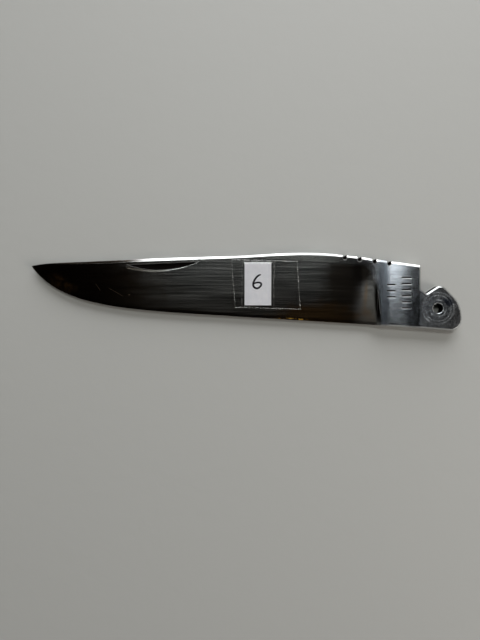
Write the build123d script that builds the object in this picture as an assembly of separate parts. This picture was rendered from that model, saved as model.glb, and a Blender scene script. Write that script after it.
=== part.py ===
"""A loose blade for a slip-joint folding knife, with the numbered lot label that is taped to it.

The blade is one ground steel blank: a high flat grind up to a narrow flat along the spine, a plunge in
front of the ricasso, file cuts in the spine, a nail nick, and a tang with the pivot bore and the
spring notch.
A paper label lies on the ground face under a strip of clear tape.

Frame: origin at the centre of the pivot bore, halfway through the thickness. X runs along the blade
with the tip at -X, Y runs from the cutting edge to the spine, and Z is the thickness.
"""
from build123d import *
import math
import os

# ---- blank
tip_reach = 104.2  # pivot centre to tip, along the blade
hump_rise = 14.2  # pivot centre to the highest point of the spine
blade_thickness = 3.0
hump_reach = 34.2  # pivot centre to the highest point of the spine, along the blade
edge_drop = 5.25  # straight cutting edge, carried on to the pivot, below the pivot centre
edge_lean = 0.061  # rise of the straight cutting edge per millimetre towards the tip
belly_length = 48.7  # curved part of the cutting edge, from the tip
belly_handle = 25.0  # how long the belly holds the line of the straight edge
tip_handle = 12.9  # how long the belly holds the angle of the tip
tip_angle = 55.0  # between the cutting edge at the tip and the X axis

# ---- spine, as drops below the hump
tip_drop = 3.32
tip_climb = 0.2  # slope of the spine where it leaves the tip
fore_spine_step, fore_spine_drop = 12.4, 2.33
mid_spine_step, mid_spine_drop = 33.5, 1.37
hump_front_step, hump_front_drop = 16.0, 0.75
hump_back_step, hump_back_drop = 13.0, 0.85
ricasso_top_step, ricasso_top_drop = 22.1, 2.14

# ---- tang
shoulder_reach = 4.35  # pivot centre to the face that stops on the handle
shoulder_drop = 3.2  # below the hump
notch_root_reach, notch_root_rise = 2.85, 3.75
notch_lip_rise = 4.84
crest_reach, crest_rise = 0.85, 6.17
tang_reach = 6.1  # pivot centre to the end of the tang
tang_back_rise = 0.92
heel_drop = 5.86
heel_start_reach = 3.9

# ---- pivot
bore_radius = 1.25
bore_break = 0.12

# ---- grinds
grind_width = 15.2  # from the cutting edge to where the flat grind runs out at full thickness
edge_thickness = 0.3  # where the flat grind meets the sharpening bevel
edge_land = 0.05  # flat left on the unsharpened edge
bevel_slope = 0.25
plunge_reach = 15.4  # pivot centre to the foot of the plunge wall
plunge_angle = 40.0
scoop_radius = 16.0  # of the grinding wheel, in front of the plunge wall
scoop_length = 4.1
spine_break_width = 0.6
spine_break_depth = 0.3
spine_taper_reach = 51.7  # pivot centre to where the spine begins to thin
spine_taper = 0.75  # degrees, how the spine break follows the thinning spine to the tip
corner_break = 0.35

# ---- file cuts and nail nick
file_cut_width = 1.05
file_cut_depth = 1.35  # at the faces
file_cut_middle_depth = 0.25  # where the cuts from the two faces meet
file_cut_first = 12.45  # pivot centre to the nearest cut
file_cut_pitch = 3.78
file_cut_count = 4
nick_length = 18.7
nick_width = 1.7
nick_depth = 0.55
nick_lean = 2.4  # degrees, the nick follows the spine
nick_reach = 71.0
nick_inset = 1.35  # from the spine to the straight wall of the nick

# ---- plain punched strokes on the ricasso
stroke_width = 0.48
stroke_depth = 0.15
stroke_flank = 52.0  # degrees off upright, the punch is a blunt wedge
stroke_pitch = 1.55
short_row_reach, short_row_rise, short_row_count, short_stroke = 12.0, 4.4, 3, 2.3
long_row_reach, long_row_rise, long_row_count, long_stroke = 8.1, 3.9, 6, 2.6

# ---- label and tape
label_width = 6.8
label_height = 10.95
label_thickness = 0.1
label_reach = 45.9
label_rise = 6.25
tape_width = 12.3
tape_length = 17.1
tape_film = 0.05
tape_lean = -1.5  # degrees
tape_end_lean = 6.0  # degrees off square, the strip was torn off askew
tape_reach = 43.85
tape_rise = 6.1
tape_tooth = 0.35  # depth of the teeth that the cutter leaves
tape_tooth_count = 12
pocket_side_margin = 0.65
pocket_end_margin = 0.15
pocket_air = 0.02

half = blade_thickness / 2
tip_rise = hump_rise - tip_drop
grind_slope = (half - edge_thickness / 2) / grind_width
outside = 12.0  # how far cutters reach past the blank


def edge_line(x):
    """Height of the straight cutting edge at x."""
    return -edge_drop - edge_lean * x


def belly_points():
    """Control points of the curved cutting edge, from the tip to the straight edge."""
    start = -tip_reach + belly_length
    slope = math.radians(tip_angle)
    lean = math.atan(edge_lean)
    return [
        (-tip_reach, tip_rise),
        (-tip_reach + tip_handle * math.cos(slope), tip_rise - tip_handle * math.sin(slope)),
        (start - belly_handle * math.cos(lean), edge_line(start) + belly_handle * math.sin(lean)),
        (start, edge_line(start)),
    ]


def spine_curve():
    """The spine from the tip over the hump to the straight top of the ricasso."""
    points = [
        (-tip_reach, tip_rise),
        (-tip_reach + fore_spine_step, hump_rise - fore_spine_drop),
        (-tip_reach + mid_spine_step, hump_rise - mid_spine_drop),
        (-hump_reach - hump_front_step, hump_rise - hump_front_drop),
        (-hump_reach, hump_rise),
        (-hump_reach + hump_back_step, hump_rise - hump_back_drop),
        (-hump_reach + ricasso_top_step, hump_rise - ricasso_top_drop),
    ]
    run = hump_reach - ricasso_top_step - shoulder_reach
    fall = shoulder_drop - ricasso_top_drop
    return Spline(*points, tangents=[(1, tip_climb), (run, -fall)])


def tang_line():
    """Straight edge, heel, tang end, spring notch and shoulder, back to the top of the ricasso."""
    start = -tip_reach + belly_length
    corners = [
        (-heel_start_reach, edge_line(-heel_start_reach), 6.0),
        (tang_reach, -heel_drop, 2.8),
        (tang_reach, tang_back_rise, 8.0),
        (crest_reach, crest_rise, 1.8),
        (-notch_root_reach, notch_root_rise, 0.4),
        (-shoulder_reach, notch_lip_rise, 0.4),
        (-shoulder_reach, hump_rise - shoulder_drop, 0.4),
    ]
    end = (-hump_reach + ricasso_top_step, hump_rise - ricasso_top_drop)
    path = [(start, edge_line(start)), *[(x, y) for x, y, _ in corners], end]
    return FilletPolyline(*path, radius=[r for _, _, r in corners])


def height_on(curve, x):
    """Height of a curve that runs one way along X, at x."""
    low, high = 0.0, 1.0
    for _ in range(40):
        middle = (low + high) / 2
        if curve.position_at(middle).X < x:
            low = middle
        else:
            high = middle
    return curve.position_at(low).Y


def blank():
    """The flat blank, with every corner of its outline broken."""
    outline = make_face([Bezier(*belly_points()), tang_line(), spine_curve()])
    solid = extrude(outline, half, both=True)
    rims = solid.faces().sort_by(Axis.Z)
    return chamfer(rims[0].edges() + rims[-1].edges(), corner_break)


def ruled_cutter(slope, land):
    """Everything above the surface that climbs from the edge towards the spine at one slope.

    The surface is the edge's own curve, carried along the direction (0, 1, slope), so its section
    at one Y is that curve scaled by the slope. land is the thickness left at the edge.
    """
    y = -outside

    def at(x, edge_y):
        return Vector(x, y, land / 2 + slope * (y - edge_y))

    belly = [at(x, edge_y) for x, edge_y in belly_points()]
    lead = belly[0] + (belly[0] - belly[1]).normalized() * outside / 2
    foot, section = plunge_section(at)
    top = blade_thickness + outside * slope
    last = section[-1] @ 1
    lines = [Line(lead, belly[0]), Bezier(*belly), Line(belly[3], foot), *section]
    corners = [last, Vector(last.X, y, top), Vector(lead.X, y, top), lead]
    lines.append(Polyline(*corners))
    face = Face(Wire([edge for line in lines for edge in line.edges()]))
    return extrude(face, 4 * outside, dir=(0, 1, slope))


def plunge_section(at):
    """Section of a grind's end: the foot, the wheel's scoop, then the steep plunge wall."""
    foot_x = -plunge_reach - scoop_length
    foot = at(foot_x, edge_line(foot_x))
    along = (at(foot_x + 1, edge_line(foot_x + 1)) - foot).normalized()
    lean = math.degrees(math.atan2(along.Z, along.X))
    turn = math.degrees(math.asin(scoop_length / scoop_radius))
    normal = Vector(-along.Z, 0, along.X)
    centre = foot + normal * scoop_radius

    def on_wheel(angle):
        a = math.radians(angle + lean)
        return centre + Vector(math.sin(a), 0, -math.cos(a)) * scoop_radius

    scoop = ThreePointArc(foot, on_wheel(turn / 2), on_wheel(turn))
    climb = blade_thickness + outside * grind_slope
    wall = Line(scoop @ 1, (scoop @ 1) + Vector(climb / math.tan(math.radians(plunge_angle)), 0, climb))
    return foot, [scoop, wall]


def above_spine():
    """The area past the spine, carried on past the tip and the shoulder."""
    spine = spine_curve()
    tip, back = spine @ 0, spine @ 1
    fore = tip - (spine % 0) * outside / 2
    aft = back + (spine % 1) * (2 * outside)
    border = Polyline(aft, (aft.X, hump_rise + outside), (fore.X, hump_rise + outside), fore, tip)
    return make_face([spine, Line(back, aft), border])


def spine_breaks():
    """Cutters for the shallow break along the spine: one level, one that falls towards the tip."""
    overlap = 0.1
    fall = spine_break_depth / spine_break_width
    start = half - spine_break_depth - overlap * fall
    cutters = []
    for taper in (0, math.radians(spine_taper)):
        seat = Plane(
            origin=(-spine_taper_reach, overlap, start),
            x_dir=(math.cos(taper), 0, math.sin(taper)),
            z_dir=(-math.sin(taper), 0, math.cos(taper)),
        )
        area = seat * (Pos(spine_taper_reach, 0, 0) * above_spine())
        cutters.append(extrude(area, outside / 4, dir=(0, -1, fall)))
    return cutters


def ground_height(x, y):
    """Height of the flat-ground face above the blade's middle plane."""
    return edge_thickness / 2 + grind_slope * (y - edge_line(x))


def ground_plane(x, y):
    """The flat-ground face at a point, X along the blade."""
    rise = grind_slope * edge_lean
    return Plane(
        origin=(x, y, ground_height(x, y)), x_dir=(1, 0, rise), z_dir=(-rise, -grind_slope, 1)
    )


def nick_wheel():
    """The dished wheel that cuts the nail nick: a straight wall near the spine, a sloping floor."""
    y = height_on(spine_curve(), -nick_reach) - nick_inset
    radius = ((nick_length / 2) ** 2 + nick_depth**2) / (2 * nick_depth)
    side = nick_depth / nick_width - grind_slope
    surface = edge_thickness / 2 + grind_slope * (y - height_on(Bezier(*belly_points()), -nick_reach))
    lean = math.radians(nick_lean)
    rim = Plane(
        origin=(-nick_reach, y, surface - nick_depth + radius),
        x_dir=(math.cos(lean), math.sin(lean), 0),
        z_dir=(math.sin(lean), -math.cos(lean), 0),
    )
    width = 2 * nick_width
    wheel = Cone(radius, radius - side * width, width, align=(Align.CENTER, Align.CENTER, Align.MIN))
    return rim * wheel


def file_cuts():
    """Round-bottomed cuts in the spine, filed at a slant from each face to the middle."""
    spine = spine_curve()
    slant = (file_cut_depth - file_cut_middle_depth) / half
    lead = half / 3
    reach = (half + lead) * math.hypot(1, slant)
    cuts = []
    for index in range(file_cut_count):
        x = -file_cut_first - index * file_cut_pitch
        radius = file_cut_width / 2
        bottom = height_on(spine, x) - file_cut_depth + radius - lead * slant
        mouth = 3 * file_cut_depth
        shape = Circle(radius) + Pos(0, mouth / 2) * Rectangle(file_cut_width, mouth)
        cut = extrude(Pos(x, bottom, half + lead) * shape, reach, dir=(0, slant, -1))
        cuts += [cut, mirror(cut, about=Plane.XY)]
    return cuts


def punched_rows():
    """Two rows of plain strokes, punched into the ricasso."""
    rows = (
        (short_row_reach, short_row_rise, short_row_count, short_stroke),
        (long_row_reach, long_row_rise, long_row_count, long_stroke),
    )
    strokes = []
    for reach, rise, count, length in rows:
        for index in range(count):
            y = rise + (index - (count - 1) / 2) * stroke_pitch
            face = Plane(origin=(-reach, y, half), z_dir=(0, 0, -1))
            mark = face * SlotOverall(length, stroke_width)
            strokes.append(extrude(mark, stroke_depth, taper=stroke_flank))
    return strokes


def bore_cutter():
    """The pivot bore, with both mouths broken."""
    mouth = bore_radius + bore_break
    cutter = Cylinder(bore_radius, 2 * blade_thickness)
    for side in (1, -1):
        rim = Cone(bore_radius, mouth + bore_break, 2 * bore_break)
        cutter += Pos(0, 0, side * half) * Rot(0 if side > 0 else 180, 0, 0) * rim
    return cutter


def blade():
    """The ground blade."""
    solid = blank()
    sides = [
        ruled_cutter(grind_slope, edge_thickness),
        ruled_cutter(bevel_slope, edge_land),
        *spine_breaks(),
    ]
    for cutter in sides:
        solid -= cutter
        solid -= mirror(cutter, about=Plane.XY)
    for cutter in [nick_wheel(), bore_cutter(), *file_cuts(), *punched_rows()]:
        solid -= cutter
    return solid


def label():
    """The paper slip, flat on the ground face."""
    slip = Box(label_width, label_height, label_thickness, align=(Align.CENTER, Align.CENTER, Align.MIN))
    return ground_plane(-label_reach, label_rise) * slip


def tape_outline():
    """The torn strip: straight sides, and a row of teeth at each end."""
    pitch = tape_width / tape_tooth_count
    askew = math.tan(math.radians(tape_end_lean))
    right = []
    for index in range(tape_tooth_count):
        y = -tape_width / 2 + index * pitch
        right += [(tape_length / 2, y), (tape_length / 2 - tape_tooth, y + pitch / 2)]
    right.append((tape_length / 2, tape_width / 2))
    left = [(-x, -y) for x, y in right]
    return make_face(Polyline(*[(x - y * askew, y) for x, y in right + left], close=True))


def under(lift):
    """Everything under the flat-ground face and the flat along the spine, both raised by lift."""
    foot = (Align.CENTER, Align.CENTER, Align.MAX)
    block = Pos(0, 0, lift) * Box(3 * tape_length, 3 * tape_length, 4 * blade_thickness, align=foot)
    return (ground_plane(-tape_reach, tape_rise) * block) & (Pos(-tape_reach, tape_rise, half) * block)


def tape():
    """The clear strip, lying on the blade and lifted over the label."""
    place = Pos(-tape_reach, tape_rise) * Rot(0, 0, tape_lean)
    column = extrude(place * tape_outline(), blade_thickness)
    film = column & under(tape_film) - under(0)
    room_width = label_width + 2 * pocket_side_margin
    room_height = label_height + 2 * pocket_end_margin
    room_rise = label_thickness + pocket_air
    foot = (Align.CENTER, Align.CENTER, Align.MIN)
    roof = Box(room_width + 2 * tape_film, room_height + 2 * tape_film, room_rise + tape_film, align=foot)
    room = Box(room_width, room_height, room_rise, align=foot)
    seat = ground_plane(-label_reach, label_rise)
    return film + seat * roof - seat * room


os.makedirs("parts", exist_ok=True)
pieces = {"blade": blade(), "lot_label": label(), "label_tape": tape()}
for name, solid in pieces.items():
    export_step(solid, f"parts/{name}.step")
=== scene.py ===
import math

import bpy
from mathutils import Matrix, Vector


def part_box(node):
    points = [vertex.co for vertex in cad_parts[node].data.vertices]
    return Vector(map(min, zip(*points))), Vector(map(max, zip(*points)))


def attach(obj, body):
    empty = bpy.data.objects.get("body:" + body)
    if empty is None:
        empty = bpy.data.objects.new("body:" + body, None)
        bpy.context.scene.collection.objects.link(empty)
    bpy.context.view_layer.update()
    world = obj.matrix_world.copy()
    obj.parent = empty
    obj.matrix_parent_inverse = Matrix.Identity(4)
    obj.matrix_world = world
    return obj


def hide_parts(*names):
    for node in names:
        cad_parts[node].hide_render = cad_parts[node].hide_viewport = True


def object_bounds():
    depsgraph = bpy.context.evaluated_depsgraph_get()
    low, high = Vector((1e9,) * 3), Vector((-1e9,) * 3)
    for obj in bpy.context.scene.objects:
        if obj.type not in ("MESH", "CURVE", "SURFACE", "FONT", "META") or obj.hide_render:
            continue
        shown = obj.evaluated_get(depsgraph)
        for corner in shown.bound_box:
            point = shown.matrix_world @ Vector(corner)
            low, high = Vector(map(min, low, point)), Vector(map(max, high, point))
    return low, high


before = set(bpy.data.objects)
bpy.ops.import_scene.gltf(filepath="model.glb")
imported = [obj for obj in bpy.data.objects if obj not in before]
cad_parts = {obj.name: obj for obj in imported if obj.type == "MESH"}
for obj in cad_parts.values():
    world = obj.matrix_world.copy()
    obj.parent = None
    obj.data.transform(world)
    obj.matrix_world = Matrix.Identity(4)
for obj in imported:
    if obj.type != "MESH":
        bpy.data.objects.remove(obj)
cad_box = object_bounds()
MM = 0.001


# ---------------------------------------------------------------- camera
# The blade lies flat and is looked at from straight above, from a hand's length away, with the tip
# to the left and the cutting edge towards the viewer.
box_low, box_high = cad_box
box_middle = (box_low + box_high) / 2
CAMERA_HEIGHT = 130 * MM
CAMERA_OFFSET = Vector((-1.43, -7.29, 0)) * MM
LENS_MM, SENSOR_MM = 28.4, 36

bpy.ops.object.camera_add(location=box_middle + CAMERA_OFFSET + Vector((0, 0, CAMERA_HEIGHT)))
camera = bpy.context.object
camera.name = "camera"
camera.data.lens = LENS_MM
camera.data.sensor_width = SENSOR_MM
camera.data.clip_start = 5 * MM
camera.data.clip_end = 20
bpy.context.scene.camera = camera


# ---------------------------------------------------------------- studio light
# A tall soft window stands beyond the spine, a narrow one hangs over the blade, and a card stands
# past the tang. A soft lamp fills in from the near right. The room is pale round the horizon, and
# dark and warm overhead.
def linear(code):
    """An sRGB hex colour as linear RGBA."""
    parts = [int(code[i : i + 2], 16) / 255 for i in (1, 3, 5)]
    return (*[c / 12.92 if c <= 0.04045 else ((c + 0.055) / 1.055) ** 2.4 for c in parts], 1)


# Places and sizes are in metres. Brightness is the same over a whole panel.
WINDOW_X, WINDOW_Y, LAMP_HEIGHT = 0.105, 0.64, 0.5
blade_x = box_middle.x
lamp_x, card_x = blade_x - 0.007, blade_x + 0.192
panels = (
    # name, place, width, depth, brightness, colour, and the point that the panel faces
    ("window", (WINDOW_X, WINDOW_Y, 0.45), 0.72, 0.34, 5.4, "#FBFCFF", (WINDOW_X, 0, 0.45)),
    ("window_foot", (WINDOW_X, WINDOW_Y, 0.15), 0.72, 0.25, 4.6, "#FBFCFF", (WINDOW_X, 0, 0.15)),
    ("upper_window", (lamp_x, 0.185, LAMP_HEIGHT), 0.26, 0.08, 8.0, "#F4F8F4", (lamp_x, 0.185, 0)),
    ("card", (card_x, 0.16, LAMP_HEIGHT), 0.018, 0.19, 5.6, "#EEF6FF", (card_x, 0.16, 0)),
    ("near_lamp", (0.44, -0.22, 0.34), 0.34, 0.34, 3.6, "#FFF8F0", (0, 0, 0)),
    ("warm_side", (blade_x, -0.55, 0.14), 0.9, 0.24, 0.10, "#A8703F", (blade_x, 0, 0.14)),
)
for name, place, width, depth, brightness, colour, aim in panels:
    bpy.ops.object.light_add(type="AREA", location=place)
    panel = bpy.context.object
    panel.name = name
    panel.data.shape = "RECTANGLE"
    panel.data.size = width
    panel.data.size_y = depth
    panel.data.energy = brightness * math.pi * width * depth
    panel.data.color = linear(colour)[:3]
    panel.rotation_euler = (Vector(place) - Vector(aim)).to_track_quat("Z", "Y").to_euler()


def add(tree, kind, inputs=None, out=0, **settings):
    """Adds a node with its settings; inputs are values, or sockets to link. Gives one output."""
    made = tree.nodes.new(kind)
    for name, value in settings.items():
        setattr(made, name, value)
    for key, value in (inputs or {}).items():
        if isinstance(value, bpy.types.NodeSocket):
            tree.links.new(value, made.inputs[key])
        else:
            made.inputs[key].default_value = value
    return made.outputs[out] if made.outputs else made


world = bpy.data.worlds.new("pale_room_with_dark_ceiling")
bpy.context.scene.world = world
world.use_nodes = True
t = world.node_tree  # t is the node tree in hand, here and in each material
t.nodes.clear()
upward = add(t, "ShaderNodeSeparateXYZ", {0: add(t, "ShaderNodeTexCoord")}, out=2)
ceiling = {0: upward, 1: 0.22, 2: 0.55}
ceiling = add(t, "ShaderNodeMapRange", ceiling, interpolation_type="SMOOTHSTEP")
room_tone = {0: ceiling, 6: linear("#C4C4C0"), 7: linear("#3A3028")}
room_tone = add(t, "ShaderNodeMix", room_tone, out=2, data_type="RGBA")
room_light = add(t, "ShaderNodeMapRange", {0: ceiling, 3: 0.9, 4: 0.06})
room = add(t, "ShaderNodeBackground", {"Color": room_tone, "Strength": room_light})
add(t, "ShaderNodeOutputWorld", {"Surface": room})

bpy.context.scene.view_settings.view_transform = "Standard"


# ---------------------------------------------------------------- floor
# A plain pale board, painted matt with a roller. The blade lies loose on it, on the thick strip
# along its spine and on its tang.
FLOOR_SIDE = 3.0


def new_material(name):
    """An empty node material and its tree."""
    material = bpy.data.materials.new(name)
    material.use_nodes = True
    material.node_tree.nodes.clear()
    return material, material.node_tree


def deselect():
    """Nothing selected, so that an operator acts only on the next new piece."""
    if bpy.context.object and bpy.context.object.mode != "OBJECT":
        bpy.ops.object.mode_set(mode="OBJECT")
    bpy.ops.object.select_all(action="DESELECT")


deselect()
bpy.ops.mesh.primitive_plane_add(size=FLOOR_SIDE, location=(box_middle.x, box_middle.y, box_low.z))
floor = bpy.context.object
floor.name = "floor"
floor_paint, t = new_material("matt_painted_board")
# Matt paint: one pale tone, with a roller's texture of 4 mm.
place = add(t, "ShaderNodeTexCoord", out="Object")
roller = add(t, "ShaderNodeTexNoise", {"Vector": place, "Scale": 260.0, "Detail": 3.0})
nap = add(t, "ShaderNodeBump", {"Height": roller, "Strength": 0.12, "Distance": 0.4 * MM})
paint = {"Base Color": linear("#B9B9B5"), "Roughness": 0.62, "Normal": nap}
skin = add(t, "ShaderNodeBsdfPrincipled", paint)
add(t, "ShaderNodeOutputMaterial", {"Surface": skin})
floor.data.materials.append(floor_paint)


# ---------------------------------------------------------------- blade
# The blade: one piece of ground stainless steel, 3 mm thick. It was ground on a belt along its
# length, and on a wheel at the plunge in front of the ricasso. Handling has since scratched and
# stained it, and the liners have rubbed rings round its pivot bore. Shade, reflections and glints
# are painted on it too. All sizes here are in mm.
HALF_THICKNESS = 1.5
BORE_MOUTH = 1.34
RUB_RINGS = ((2.1, 0.25), (3.3, 0.22), (4.0, 0.25))  # radius and half width
CUTS_MIDDLE, CUTS_REACH = (-18.1, 13.6), (7.2, 2.7)
STROKES_MIDDLE, STROKES_REACH = (-10.2, 4.2), (4.2, 4.9)
NICK_MIDDLE, NICK_LEAN = (-71.0, 11.47), 2.4
NICK_LENGTH, NICK_WIDTH = 18.7, 1.7
EDGE_WEAR = 0.13 * MM


def in_mm(tree):
    """Object coordinates in millimetres."""
    place = add(tree, "ShaderNodeTexCoord", out="Object")
    return add(tree, "ShaderNodeVectorMath", {0: place, "Scale": 1000.0}, operation="SCALE")


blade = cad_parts["blade"]
steel, t = new_material("belt_ground_stainless_steel")

# Where each point is, and the way its face looks.
mm = in_mm(t)
x_mm, y_mm, z_mm = add(t, "ShaderNodeSeparateXYZ", {0: mm}).node.outputs
facing = add(t, "ShaderNodeTexCoord", out="Normal")
_, face_y, face_z = add(t, "ShaderNodeSeparateXYZ", {0: facing}).node.outputs
tilt = add(t, "ShaderNodeMath", {0: face_z}, operation="ABSOLUTE")
upper_side = add(t, "ShaderNodeMapRange", {0: z_mm, 1: 0.0, 2: 0.05})
behind_plunge = add(t, "ShaderNodeMapRange", {0: x_mm, 1: -15.7, 2: -14.9})
in_front = add(t, "ShaderNodeMath", {0: 1.0, 1: behind_plunge}, operation="SUBTRACT")
on_tang = add(t, "ShaderNodeMapRange", {0: x_mm, 1: -4.8, 2: -4.6})
flat_mm = add(t, "ShaderNodeVectorMath", {0: mm, 1: (1, 1, 0)}, operation="MULTIPLY")
from_bore = add(t, "ShaderNodeVectorMath", {0: flat_mm}, out=1, operation="LENGTH")

# Belt scratches run along the blade: fine ones every 0.25 mm and deeper ones every 0.4 mm. Real
# ones are finer, and these are as coarse as they need to be to show.
lengthwise = add(t, "ShaderNodeMapping", {"Vector": mm, "Scale": (0.05, 4.0, 4.0)})
fine = add(t, "ShaderNodeTexNoise", {"Vector": lengthwise, "Scale": 1.0, "Detail": 3.0})
lengthwise = add(t, "ShaderNodeMapping", {"Vector": mm, "Scale": (0.07, 2.3, 2.3)})
deep = add(t, "ShaderNodeTexNoise", {"Vector": lengthwise, "Scale": 1.0, "Detail": 4.0})
streaks = add(t, "ShaderNodeMix", {0: 0.4, 2: fine, 3: deep})
streak_tone = add(t, "ShaderNodeMapRange", {0: streaks, 1: 0.40, 2: 0.60})
clouds = {"Vector": mm, "Scale": 0.45, "Detail": 5.0, "Roughness": 0.6}
clouds = add(t, "ShaderNodeTexNoise", clouds)
mottle = {"Vector": mm, "Scale": 1.1, "Detail": 5.0, "Roughness": 0.65}
mottle = add(t, "ShaderNodeTexNoise", mottle)


def mark(middle, length, width, lean, ragged=0.0):
    """A patch on the upper side, 1 inside and fading to 0 at its ragged rim. It marks smudges and
    scratches, and painted shade and reflections.
    """
    frame_of_mark = {
        "Vector": mm,
        "Location": (*middle, 0),
        "Rotation": (0, 0, math.radians(lean)),
        "Scale": (length / 2, width / 2, 1e4),
    }
    local = add(t, "ShaderNodeMapping", frame_of_mark, vector_type="TEXTURE")
    rim = add(t, "ShaderNodeVectorMath", {0: local}, out=1, operation="LENGTH")
    if ragged:
        rim = {0: clouds, 1: 2 * ragged, 2: rim}
        rim = add(t, "ShaderNodeMath", rim, operation="MULTIPLY_ADD")
        rim = add(t, "ShaderNodeMath", {0: rim, 1: ragged}, operation="SUBTRACT")
    mask = {0: rim, 1: 1.0, 2: 0.4}
    mask = add(t, "ShaderNodeMapRange", mask, interpolation_type="SMOOTHSTEP")
    return add(t, "ShaderNodeMath", {0: mask, 1: upper_side}, operation="MULTIPLY")


def area(middle, reach):
    """A rectangle seen from above, 1 inside and 0 outside."""
    beside = {0: x_mm, 1: middle[0], 2: reach[0]}
    beside = add(t, "ShaderNodeMath", beside, operation="COMPARE")
    above = {0: y_mm, 1: middle[1], 2: reach[1]}
    above = add(t, "ShaderNodeMath", above, operation="COMPARE")
    return add(t, "ShaderNodeMath", {0: beside, 1: above}, operation="MULTIPLY")


# Recesses are painted near black: painted shade, laid over the dark scale that the belt never
# reached. The nail nick: its floor and its steep wall, but not the broken edge of the spine above
# it.
leans_in = add(t, "ShaderNodeMapRange", {0: face_y, 1: 0.05, 2: 0.12})
not_break = add(t, "ShaderNodeMapRange", {0: face_y, 1: 0.42, 2: 0.36})
nick_floor = add(t, "ShaderNodeMath", {0: leans_in, 1: not_break}, operation="MULTIPLY")
nick_wall = add(t, "ShaderNodeMapRange", {0: face_y, 1: -0.6, 2: -0.8})
nick_face = add(t, "ShaderNodeMath", {0: nick_floor, 1: nick_wall}, operation="MAXIMUM")
by_nick = mark((-71.0, 10.2), 58.0, 20.0, NICK_LEAN)
in_nick = add(t, "ShaderNodeMath", {0: by_nick, 1: nick_face}, operation="MULTIPLY")
# The walls of the pivot bore and round the tang.
in_bore = add(t, "ShaderNodeMapRange", {0: from_bore, 1: BORE_MOUTH, 2: BORE_MOUTH - 0.06})
upright = add(t, "ShaderNodeMapRange", {0: tilt, 1: 0.5, 2: 0.3})
hidden_wall = add(t, "ShaderNodeMath", {0: in_bore, 1: on_tang}, operation="MAXIMUM")
hidden_wall = add(t, "ShaderNodeMath", {0: hidden_wall, 1: upright}, operation="MULTIPLY")
# The file cuts, but not the back of the spine between them.
cut_face = add(t, "ShaderNodeMapRange", {0: tilt, 1: 0.86, 2: 0.78})
not_back = add(t, "ShaderNodeMapRange", {0: face_y, 1: 0.96, 2: 0.93})
for limit in (area(CUTS_MIDDLE, CUTS_REACH), not_back):
    cut_face = add(t, "ShaderNodeMath", {0: cut_face, 1: limit}, operation="MULTIPLY")
# The punched strokes, which lie under the face.
near_strokes = area(STROKES_MIDDLE, STROKES_REACH)
sunk = {0: z_mm, 1: HALF_THICKNESS - 0.02, 2: HALF_THICKNESS - 0.08}
sunk = add(t, "ShaderNodeMapRange", sunk)
for limit in (near_strokes, upper_side):
    sunk = add(t, "ShaderNodeMath", {0: sunk, 1: limit}, operation="MULTIPLY")
recess_shade_and_scale = in_nick
for recess in (hidden_wall, cut_face, sunk):
    recess_shade_and_scale = add(t, "ShaderNodeMath", {0: recess_shade_and_scale, 1: recess}, operation="MAXIMUM")

# Edges are a little rounded and scuffed by use, and are painted pale along the rounding as a
# painted highlight. The cuts, the strokes and the lowest edge stay crisp.
rounded = add(t, "ShaderNodeBevel", {"Radius": EDGE_WEAR}, samples=8)
true_normal = add(t, "ShaderNodeNewGeometry", out="True Normal")
turned = {0: rounded, 1: true_normal}
turned = add(t, "ShaderNodeVectorMath", turned, out=1, operation="DOT_PRODUCT")
worn_edge_highlight = add(t, "ShaderNodeMapRange", {0: turned, 1: 0.998, 2: 0.985, 4: 0.6})
crisp = add(t, "ShaderNodeMath", {0: cut_face, 1: near_strokes}, operation="MAXIMUM")
not_crisp = add(t, "ShaderNodeMath", {0: 1.0, 1: crisp}, operation="SUBTRACT")
high = add(t, "ShaderNodeMapRange", {0: y_mm, 1: -2.5, 2: -0.5})
for limit in (not_crisp, high):
    worn_edge_highlight = add(t, "ShaderNodeMath", {0: worn_edge_highlight, 1: limit}, operation="MULTIPLY")
off_edge = add(t, "ShaderNodeMath", {0: 1.0, 1: worn_edge_highlight}, operation="SUBTRACT")
recess_shade_and_scale = add(t, "ShaderNodeMath", {0: recess_shade_and_scale, 1: off_edge}, operation="MULTIPLY")
bare_metal = add(t, "ShaderNodeMath", {0: 1.0, 1: recess_shade_and_scale}, operation="SUBTRACT")

# Behind the plunge the belt lines are worn to an even grey. The strip along the spine in front of
# it was never ground thin, and is painted darker there as painted shade. The face is painted darker
# and browner towards the edge, as painted shade.
even = add(t, "ShaderNodeMath", {0: behind_plunge, 1: 0.75}, operation="MULTIPLY")
strip_painted_shade = {0: z_mm, 1: HALF_THICKNESS - 0.020, 2: HALF_THICKNESS - 0.005, 4: 0.98}
strip_painted_shade = add(t, "ShaderNodeMapRange", strip_painted_shade)
before_plunge = add(t, "ShaderNodeMapRange", {0: x_mm, 1: -17.0, 2: -22.0})
strip_painted_shade = add(t, "ShaderNodeMath", {0: strip_painted_shade, 1: before_plunge}, operation="MULTIPLY")
edge_painted_shade = add(t, "ShaderNodeMapRange", {0: y_mm, 1: 10.0, 2: -3.0, 4: 0.85})
edge_painted_shade = add(t, "ShaderNodeMath", {0: edge_painted_shade, 1: in_front}, operation="MULTIPLY")
# The film at the tip, with painted glints in it, and the painted brassy glints on the edge are
# broken into specks.
tip_film_and_glints = mark((-96.5, 6.4), 11.0, 5.0, -35.0, 0.9)
speckled = add(t, "ShaderNodeMapRange", {0: mottle, 1: 0.42, 2: 0.60, 3: 0.15})
tip_film_and_glints = add(t, "ShaderNodeMath", {0: tip_film_and_glints, 1: speckled}, operation="MULTIPLY")
painted_brassy_glints = mark((-37.0, -2.75), 10.5, 0.8, -2.5, 0.2)
glinting = add(t, "ShaderNodeMapRange", {0: mottle, 1: 0.48, 2: 0.56})
painted_brassy_glints = add(t, "ShaderNodeMath", {0: painted_brassy_glints, 1: glinting}, operation="MULTIPLY")
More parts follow.
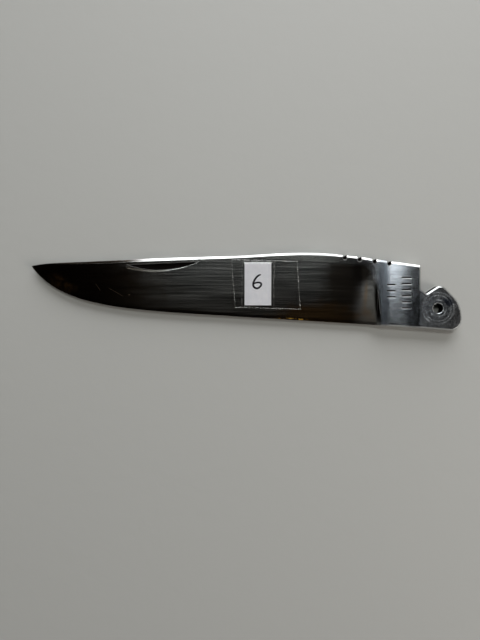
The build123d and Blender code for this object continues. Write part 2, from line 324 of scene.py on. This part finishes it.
# Grime round the bore, and the rings where the liners turned on the tang.
dirty = add(t, "ShaderNodeMapRange", {0: mottle, 1: 0.40, 2: 0.60})
dirty = {0: dirty, 6: linear("#949AA1"), 7: linear("#D0D4D4")}
dirty = add(t, "ShaderNodeMix", dirty, out=2, data_type="RGBA")
patchy = add(t, "ShaderNodeMapRange", {0: clouds, 1: 0.34, 2: 0.58, 4: 0.85})
rings = []
for radius, half_width in RUB_RINGS:
    ring = add(t, "ShaderNodeMath", {0: from_bore, 1: radius}, operation="SUBTRACT")
    ring = add(t, "ShaderNodeMath", {0: ring}, operation="ABSOLUTE")
    ring = add(t, "ShaderNodeMapRange", {0: ring, 1: half_width, 2: 0.05})
    rings.append(add(t, "ShaderNodeMath", {0: ring, 1: patchy}, operation="MULTIPLY"))

# Clean steel is a cool grey. The films, grime and wear, and the painted shade, reflections and
# glints, lie on it in this order.
grey = {0: streak_tone, 6: linear("#868989"), 7: linear("#CDCECC")}
tone = add(t, "ShaderNodeMix", grey, out=2, data_type="RGBA")
layers = (
    (even, linear("#B4B6B6")),
    (mark((-24.6, 6.0), 13.0, 19.0, -8.0, 0.5), linear("#6A635A")),  # smudge before the plunge
    (mark((-19.4, 9.4), 7.5, 8.0, -20.0, 0.3), linear("#4E4943")),  # thumb mark above the scoop
    (mark((-58.0, -1.75), 42.0, 2.6, -6.6, 0.2), linear("#1B1915")),  # painted dark reflection in the edge bevel
    (mark((-93.0, 3.0), 62.0, 34.0, 0.0, 0.3), linear("#6A5B4B")),  # painted dark reflection over the front third
    (mark((-18.3, 3.2), 0.9, 10.0, -3.0, 0.1), linear("#BFA385")),  # painted bronze reflection in the scoop
    # Brown-gold film at the tip, speckled with painted glints.
    (tip_film_and_glints, linear("#C09050")),
    # Painted shade on the unground strip.
    (strip_painted_shade, linear("#6F706E")),
    # Painted shade, darker towards the edge.
    (edge_painted_shade, linear("#635A50")),
    (mark((-31.0, -2.2), 30.0, 10.0, 2.0, 0.5), linear("#806445")),  # painted warm reflection low on the face
    (mark((-13.9, 4.0), 4.0, 40.0, 0.0, 0.3), linear("#7C8083")),  # grime behind the plunge
    (mark((-5.8, -0.5), 6.5, 13.0, 0.0, 0.5), linear("#85888A")),  # thumbed steel by the shoulder
    # Painted brassy glints on the edge.
    (painted_brassy_glints, linear("#D8A848")),
    (mark((-15.35, 1.4), 2.0, 15.0, 5.0), linear("#171310")),  # painted shade in the plunge's corner
    (mark((0.4, 0.2), 9.6, 9.2, 0.0, 0.5), dirty),
    (mark((2.6, 1.7), 4.2, 2.4, -35.0, 0.5), linear("#5E6472")),  # blued patch beside the bore
    *((ring, linear("#DDE0E0")) for ring in rings),
    # Painted highlight: pale worn edges.
    (worn_edge_highlight, linear("#D8D8D6")),
    # Painted shade: the recesses near black, over their scale.
    (recess_shade_and_scale, linear("#0C0A09")),
)
for layer, colour in layers:
    tone = add(t, "ShaderNodeMix", {0: layer, 6: tone, 7: colour}, out=2, data_type="RGBA")

# The belt left a satin, smoother between its lines. The wheel's scoop, the films, the rub marks and
# the scratches scatter more light.
rough_front = add(t, "ShaderNodeMapRange", {0: streaks, 1: 0.3, 2: 0.7, 3: 0.12, 4: 0.185})
rough_back = add(t, "ShaderNodeMapRange", {0: mottle, 1: 0.3, 2: 0.7, 3: 0.11, 4: 0.19})
roughness = add(t, "ShaderNodeMix", {0: behind_plunge, 2: rough_front, 3: rough_back})
scoop = mark((-17.8, -1.5), 9.0, 23.0, 0.0, 0.15)
for layer, rough in ((scoop, 0.235), (tip_film_and_glints, 0.24), (painted_brassy_glints, 0.36)):
    roughness = add(t, "ShaderNodeMix", {0: layer, 2: roughness, 3: rough})
for rubbed in (*rings, on_tang):
    roughness = {0: rubbed, 1: 0.06, 2: roughness}
    roughness = add(t, "ShaderNodeMath", roughness, operation="MULTIPLY_ADD")
scratches = (
    mark((-86.9, 5.4), 3.6, 0.24, -55.0),
    mark((-82.4, 4.2), 7.5, 0.16, -30.0),
    mark((-78.9, 3.5), 0.6, 0.4, 0.0),
    mark((-93.0, 3.0), 3.0, 0.10, -20.0),
    mark((-48.0, 0.4), 7.0, 0.10, 2.0),
)
for layer, rough in (*((cut, 0.3) for cut in scratches), (worn_edge_highlight, 0.42), (recess_shade_and_scale, 0.85)):
    roughness = add(t, "ShaderNodeMix", {0: layer, 2: roughness, 3: rough})

# The belt lines stand in shallow relief, nearly worn off behind the plunge.
grain = add(t, "ShaderNodeMapRange", {0: behind_plunge, 3: 1.0, 4: 0.25})
grain = add(t, "ShaderNodeMath", {0: grain, 1: streaks}, operation="MULTIPLY")
relief = {"Height": grain, "Strength": 0.4, "Distance": 0.006 * MM, "Normal": rounded}
relief = add(t, "ShaderNodeBump", relief)

# The lower lip of the nick is buffed round, more so at its left end.
nick_frame = {
    "Vector": mm,
    "Location": (*NICK_MIDDLE, 0),
    "Rotation": (0, 0, math.radians(NICK_LEAN)),
}
nick_frame = add(t, "ShaderNodeMapping", nick_frame, vector_type="TEXTURE")
nick_u, nick_v, _ = add(t, "ShaderNodeSeparateXYZ", {0: nick_frame}).node.outputs
bulge = add(t, "ShaderNodeMath", {0: nick_u, 1: NICK_LENGTH / 2}, operation="DIVIDE")
bulge = add(t, "ShaderNodeMath", {0: bulge, 1: 2.0}, operation="POWER")
bulge = {0: bulge, 1: -NICK_WIDTH, 2: NICK_WIDTH}
bulge = add(t, "ShaderNodeMath", bulge, operation="MULTIPLY_ADD")
from_lip = add(t, "ShaderNodeMath", {0: nick_v, 1: bulge}, operation="ADD")
lip_width = add(t, "ShaderNodeMapRange", {0: nick_u, 1: -9.0, 2: 8.0, 3: -0.8, 4: -0.45})
buffed = {0: from_lip, 1: lip_width, 2: 0.1}
buffed = add(t, "ShaderNodeMapRange", buffed, interpolation_type="SMOOTHSTEP")
within_nick = {0: nick_u, 1: 0.5, 2: NICK_LENGTH / 2 - 0.4}
within_nick = add(t, "ShaderNodeMath", within_nick, operation="COMPARE")
below_chord = add(t, "ShaderNodeMath", {0: nick_v, 1: -0.1}, operation="LESS_THAN")
for limit in (within_nick, below_chord, upper_side):
    buffed = add(t, "ShaderNodeMath", {0: buffed, 1: limit}, operation="MULTIPLY")
relief = {"Height": buffed, "Strength": 1.0, "Distance": 0.06 * MM, "Normal": relief}
relief = add(t, "ShaderNodeBump", relief, invert=True)

ground_steel = {
    "Base Color": tone,
    "Metallic": bare_metal,
    "Roughness": roughness,
    "Specular IOR Level": 0.0,
    "Anisotropic": 0.88,
    "Tangent": add(t, "ShaderNodeCombineXYZ", {0: 0.0, 1: 1.0, 2: 0.0}),
    "Normal": relief,
}
skin = add(t, "ShaderNodeBsdfPrincipled", ground_steel)
add(t, "ShaderNodeOutputMaterial", {"Surface": skin})
for cad_slot in blade.material_slots:
    cad_slot.material = steel


# ---------------------------------------------------------------- paper slip
# The lot label: a slip cut from plain white office paper, laid loose on the ground face. The tape
# over it holds it, so it is a little cockled and its corners don't lie quite flat.
SLIP_WIDTH, SLIP_HEIGHT, SLIP_THICKNESS = 6.8 * MM, 10.95 * MM, 0.1 * MM
SLIP_CLEARANCE = 0.003 * MM
COCKLE_HEIGHT, COCKLE_SPREAD = 0.012 * MM, 3.5 * MM
cad_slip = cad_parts["lot_label"]
top_face = max(cad_slip.data.polygons, key=lambda face: face.area * (face.normal.z > 0.9))
ground_normal = top_face.normal.copy()


def seat_at(point, turn=0.0):
    """A place on the flat-ground face: X along the blade, Z straight out of the steel."""
    along = Vector((1, 0, -ground_normal.x / ground_normal.z)).normalized()
    axes = Matrix((along, ground_normal.cross(along), ground_normal)).transposed().to_4x4()
    return Matrix.Translation(point) @ axes @ Matrix.Rotation(math.radians(turn), 4, "Z")


def settle(piece, seat):
    """Puts a finished piece in its seat and leaves its object at the origin."""
    deselect()
    piece.select_set(True)
    bpy.context.view_layer.objects.active = piece
    piece.matrix_world = seat
    bpy.ops.object.transform_apply(location=True, rotation=True, scale=True)


slip_low, slip_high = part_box("lot_label")
slip_foot = (slip_low + slip_high) / 2 - ground_normal * SLIP_THICKNESS / 2
slip_seat = seat_at(slip_foot)

deselect()
bpy.ops.mesh.primitive_grid_add(x_subdivisions=34, y_subdivisions=54, size=1)
slip = bpy.context.object
slip.name = "paper_slip"
slip.scale = (SLIP_WIDTH, SLIP_HEIGHT, 1)
slip.location.z = SLIP_CLEARANCE + COCKLE_HEIGHT / 2
bpy.ops.object.transform_apply(location=True, scale=True)
hills = bpy.data.textures.new("paper_cockle", "CLOUDS")
hills.noise_scale, hills.noise_depth = COCKLE_SPREAD, 1
cockle = slip.modifiers.new("paper_cockle", "DISPLACE")
cockle.texture, cockle.direction = hills, "Z"
cockle.strength, cockle.mid_level = COCKLE_HEIGHT, 0.5
bpy.ops.object.modifier_apply(modifier=cockle.name)
sheet = slip.modifiers.new("sheet", "SOLIDIFY")
sheet.thickness, sheet.offset = SLIP_THICKNESS, 1
bpy.ops.object.modifier_apply(modifier=sheet.name)
settle(slip, slip_seat)

paper, t = new_material("plain_office_paper")
# Uncoated paper: bright and matt, with a faint cloudy formation. Its fibres show close up, 0.1 to
# 0.2 mm across.
mm = in_mm(t)
clouds = add(t, "ShaderNodeTexNoise", {"Vector": mm, "Scale": 0.9, "Detail": 3.0})
pulled = {"Vector": mm, "Scale": (5, 2, 2), "Rotation": (0, 0, 0.7)}
pulled = add(t, "ShaderNodeMapping", pulled)
fibres = {"Vector": pulled, "Scale": 2.2, "Detail": 4.0, "Roughness": 0.7}
fibres = add(t, "ShaderNodeTexNoise", fibres)
cloudy = add(t, "ShaderNodeMapRange", {0: clouds, 1: 0.3, 2: 0.7})
white = {0: cloudy, 6: linear("#EAEBF0"), 7: linear("#F3F3F7")}
white = add(t, "ShaderNodeMix", white, out=2, data_type="RGBA")
shown_fibres = add(t, "ShaderNodeMapRange", {0: fibres, 1: 0.55, 2: 0.75, 4: 0.12})
white = {0: shown_fibres, 6: white, 7: linear("#A9ABB4")}
white = add(t, "ShaderNodeMix", white, out=2, data_type="RGBA")
felted = add(t, "ShaderNodeBump", {"Height": fibres, "Strength": 0.3, "Distance": 0.01 * MM})
uncoated = {"Base Color": white, "Roughness": 0.85, "Normal": felted}
skin = add(t, "ShaderNodeBsdfPrincipled", uncoated)
add(t, "ShaderNodeOutputMaterial", {"Surface": skin})
slip.data.materials.append(paper)
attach(slip, "root")
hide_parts("lot_label")


# ---------------------------------------------------------------- lot number
# A plain figure written on the slip by hand with a fine black felt pen. The ink is a film on the
# paper, widest in the bowl and thin where the pen was set down.
INK_WIDTH, INK_RISE, INK_LIFT = 0.46 * MM, 0.004 * MM, 0.009 * MM
pen_path = (
    # x and y in mm from the middle of the slip, and how wide the pen wrote there
    (0.80, 2.33, 0.55), (0.42, 2.27, 0.85), (0.05, 2.06, 1.0), (-0.53, 1.48, 1.05),
    (-0.98, 0.71, 1.1), (-1.18, 0.15, 1.1), (-1.20, -0.35, 1.1), (-0.95, -0.85, 1.1),
    (-0.50, -1.10, 1.1), (-0.13, -1.14, 1.05), (0.33, -0.92, 1.0), (0.70, -0.53, 1.0),
    (0.87, -0.17, 1.0), (0.72, 0.18, 1.0), (0.36, 0.33, 1.0), (-0.15, 0.34, 0.95),
    (-0.66, 0.22, 0.85), (-1.02, 0.0, 0.7),
)
deselect()
bpy.ops.curve.primitive_bezier_curve_add()
figure = bpy.context.object
figure.name = "written_figure"
line = figure.data.splines[0]
line.bezier_points.add(len(pen_path) - 2)
for point, (x, y, swell) in zip(line.bezier_points, pen_path):
    point.co = (x * MM, y * MM, 0)
    point.handle_left_type = point.handle_right_type = "AUTO"
    point.radius = swell
figure.data.bevel_depth = INK_WIDTH / 2
figure.data.bevel_resolution = 3
figure.data.resolution_u = 6
figure.data.use_fill_caps = True
bpy.ops.object.convert(target="MESH")
figure.scale.z = INK_RISE / INK_WIDTH * 2
bpy.ops.object.transform_apply(scale=True)
ink_height = SLIP_CLEARANCE + INK_LIFT + SLIP_THICKNESS
settle(figure, slip_seat @ Matrix.Translation((0, 0, ink_height)))

ink, t = new_material("dry_felt_pen_ink")
# Felt pen ink: near black with a violet cast, matt, a little starved where the pen ran fast.
starved = add(t, "ShaderNodeTexNoise", {"Vector": in_mm(t), "Scale": 6.0, "Detail": 2.0})
thin = add(t, "ShaderNodeMapRange", {0: starved, 1: 0.5, 2: 0.75})
black = {0: thin, 6: linear("#0E0C12"), 7: linear("#2A2731")}
black = add(t, "ShaderNodeMix", black, out=2, data_type="RGBA")
felt_pen = {"Base Color": black, "Roughness": 0.8, "Specular IOR Level": 0.2}
skin = add(t, "ShaderNodeBsdfPrincipled", felt_pen)
add(t, "ShaderNodeOutputMaterial", {"Surface": skin})
figure.data.materials.append(ink)
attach(figure, "root")


# ---------------------------------------------------------------- clear tape
# Clear polypropylene tape, about 12 mm wide and 0.05 mm thick, torn off askew on a saw-toothed
# cutter and pressed over the slip. It bridges the step round the paper, and its rims hold dust.
TAPE_LENGTH, TAPE_WIDTH, TAPE_THICKNESS = 17.1 * MM, 12.3 * MM, 0.05 * MM
TAPE_CLEARANCE = 0.004 * MM
TAPE_LEAN, TAPE_END_LEAN = -1.5, 6.0
TOOTH_COUNT, TOOTH_DEPTH = 12, 0.35 * MM
POCKET_SIDE, POCKET_END, POCKET_RISE = 0.62 * MM, 0.12 * MM, 0.118 * MM
POCKET_SLOPE = 0.45 * MM
TAPE_COLUMNS, TAPE_ROWS = 76, 4 * TOOTH_COUNT
AIR_LINE_CORE, AIR_LINE_OUT, AIR_LINE_SAG = (3.4, 5.5), 0.92, 0.2

tape_low, tape_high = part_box("label_tape")
tape_spot = (tape_low + tape_high) / 2
reach = Vector((tape_spot.x - slip_foot.x, tape_spot.y - slip_foot.y))
fall = (ground_normal.x * reach.x + ground_normal.y * reach.y) / ground_normal.z
tape_spot.z = slip_foot.z - fall
tape_seat = seat_at(tape_spot, TAPE_LEAN)
slip_from_tape = (tape_seat.inverted() @ slip_seat).inverted()

deselect()
bpy.ops.mesh.primitive_grid_add(x_subdivisions=TAPE_COLUMNS, y_subdivisions=TAPE_ROWS, size=1)
film = bpy.context.object
film.name = "clear_tape"
film.scale = (TAPE_LENGTH, TAPE_WIDTH, 1)
film.location.z = TAPE_CLEARANCE
bpy.ops.object.transform_apply(location=True, scale=True)
pitch = TAPE_WIDTH / TOOTH_COUNT
askew = math.tan(math.radians(TAPE_END_LEAN))
for corner in film.data.vertices:
    x, y, z = corner.co
    bite = 1 - abs(2 * ((y / pitch) % 1) - 1)
    if abs(x) > TAPE_LENGTH / 2 - 0.01 * MM:
        x -= math.copysign(TOOTH_DEPTH * bite, x)
    corner.co.x = x - y * askew
    over = slip_from_tape @ corner.co
    aside = abs(over.x) - SLIP_WIDTH / 2 - POCKET_SIDE
    beyond = abs(over.y) - SLIP_HEIGHT / 2 - POCKET_END
    lift = min(max(-max(aside, beyond) / POCKET_SLOPE, 0), 1)
    corner.co.z = z + POCKET_RISE * lift * lift * (3 - 2 * lift)
body = film.modifiers.new("body", "SOLIDIFY")
body.thickness, body.offset = TAPE_THICKNESS, 1
bpy.ops.object.modifier_apply(modifier=body.name)
bpy.ops.object.shade_smooth()
settle(film, tape_seat)

clear_film, t = new_material("clear_polypropylene_tape")
# Clear film: it shows only as a weak mirror, stronger at a slant, with fine draw lines along it and
# dust caught in the adhesive at its ends. Its UV map gives the way along and across the strip.
mm = in_mm(t)
strip = add(t, "ShaderNodeUVMap")
strip_u, strip_v, _ = add(t, "ShaderNodeSeparateXYZ", {0: strip}).node.outputs
from_middle = add(t, "ShaderNodeMath", {0: strip_u, 1: 0.5}, operation="SUBTRACT")
from_middle = add(t, "ShaderNodeMath", {0: from_middle}, operation="ABSOLUTE")
end_rim = add(t, "ShaderNodeMapRange", {0: from_middle, 1: 0.480, 2: 0.494})
from_axis = add(t, "ShaderNodeMath", {0: strip_v, 1: 0.5}, operation="SUBTRACT")
from_axis = add(t, "ShaderNodeMath", {0: from_axis}, operation="ABSOLUTE")
side_rim = add(t, "ShaderNodeMapRange", {0: from_axis, 1: 0.485, 2: 0.499, 4: 0.45})
specks = add(t, "ShaderNodeTexNoise", {"Vector": mm, "Scale": 1.5, "Detail": 3.0})
caught = add(t, "ShaderNodeMapRange", {0: specks, 1: 0.46, 2: 0.60, 3: 0.05, 4: 0.7})
side_rim = add(t, "ShaderNodeMath", {0: side_rim, 1: caught}, operation="MULTIPLY")
tooth = add(t, "ShaderNodeMath", {0: strip_v, 1: TOOTH_COUNT}, operation="MULTIPLY")
tooth = add(t, "ShaderNodeMath", {0: tooth, 1: 0.5}, operation="PINGPONG")
tooth = add(t, "ShaderNodeMapRange", {0: tooth, 1: 0.42, 2: 0.2, 3: 0.15, 4: 1.0})
dust = end_rim
for limit in (caught, tooth):
    dust = add(t, "ShaderNodeMath", {0: dust, 1: limit}, operation="MULTIPLY")
# The pocket of air round the slip ends in a thin dotted line, a rounded rectangle that wanders.
pocket_frame = (slip_foot.x / MM, slip_foot.y / MM - AIR_LINE_SAG, 0)
pocket_frame = {"Vector": mm, "Location": pocket_frame}
from_slip = add(t, "ShaderNodeMapping", pocket_frame, vector_type="TEXTURE")
from_slip = add(t, "ShaderNodeVectorMath", {0: from_slip}, operation="ABSOLUTE")
from_slip = {0: from_slip, 1: (*AIR_LINE_CORE, 1e3)}
from_slip = add(t, "ShaderNodeVectorMath", from_slip, operation="SUBTRACT")
from_slip = add(t, "ShaderNodeVectorMath", {0: from_slip, 1: (0, 0, 0)}, operation="MAXIMUM")
air_line = add(t, "ShaderNodeVectorMath", {0: from_slip}, out=1, operation="LENGTH")
wander = add(t, "ShaderNodeTexNoise", {"Vector": mm, "Scale": 0.5, "Detail": 1.0})
air_line = add(t, "ShaderNodeMath", {0: wander, 1: 0.5, 2: air_line}, operation="MULTIPLY_ADD")
air_line = add(t, "ShaderNodeMath", {0: air_line, 1: AIR_LINE_OUT}, operation="SUBTRACT")
air_line = add(t, "ShaderNodeMath", {0: air_line}, operation="ABSOLUTE")
air_line = add(t, "ShaderNodeMapRange", {0: air_line, 1: 0.12, 2: 0.02, 4: 0.45})
dotted = add(t, "ShaderNodeMapRange", {0: specks, 1: 0.40, 2: 0.62, 3: 0.2, 4: 0.8})
air_line = add(t, "ShaderNodeMath", {0: air_line, 1: dotted}, operation="MULTIPLY")
for pale_line in (air_line, side_rim):
    dust = add(t, "ShaderNodeMath", {0: dust, 1: pale_line}, operation="MAXIMUM")
slant = add(t, "ShaderNodeLayerWeight", {"Blend": 0.5}, out="Facing")
gloss = add(t, "ShaderNodeMath", {0: slant, 1: 5.0}, operation="POWER")
gloss = add(t, "ShaderNodeMath", {0: gloss, 1: 0.9, 2: 0.035}, operation="MULTIPLY_ADD")
hazed = add(t, "ShaderNodeMath", {0: dust, 1: 0.7}, operation="MULTIPLY")
pulled = add(t, "ShaderNodeMapping", {"Vector": mm, "Scale": (0.15, 1.6, 1.6)})
draw_lines = add(t, "ShaderNodeTexNoise", {"Vector": pulled, "Scale": 1.0, "Detail": 2.0})
drawn_film = {
    "Base Color": linear("#EFEFEB"),
    "Metallic": add(t, "ShaderNodeMath", {0: 1.0, 1: dust}, operation="SUBTRACT"),
    "Roughness": add(t, "ShaderNodeMapRange", {0: dust, 1: 0.0, 2: 0.5, 3: 0.08, 4: 0.6}),
    "Alpha": add(t, "ShaderNodeMath", {0: gloss, 1: hazed}, operation="MAXIMUM"),
    "Normal": add(
        t, "ShaderNodeBump", {"Height": draw_lines, "Strength": 0.2, "Distance": 0.01 * MM}
    ),
}
skin = add(t, "ShaderNodeBsdfPrincipled", drawn_film)
add(t, "ShaderNodeOutputMaterial", {"Surface": skin})
film.data.materials.append(clear_film)
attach(film, "root")
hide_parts("label_tape")
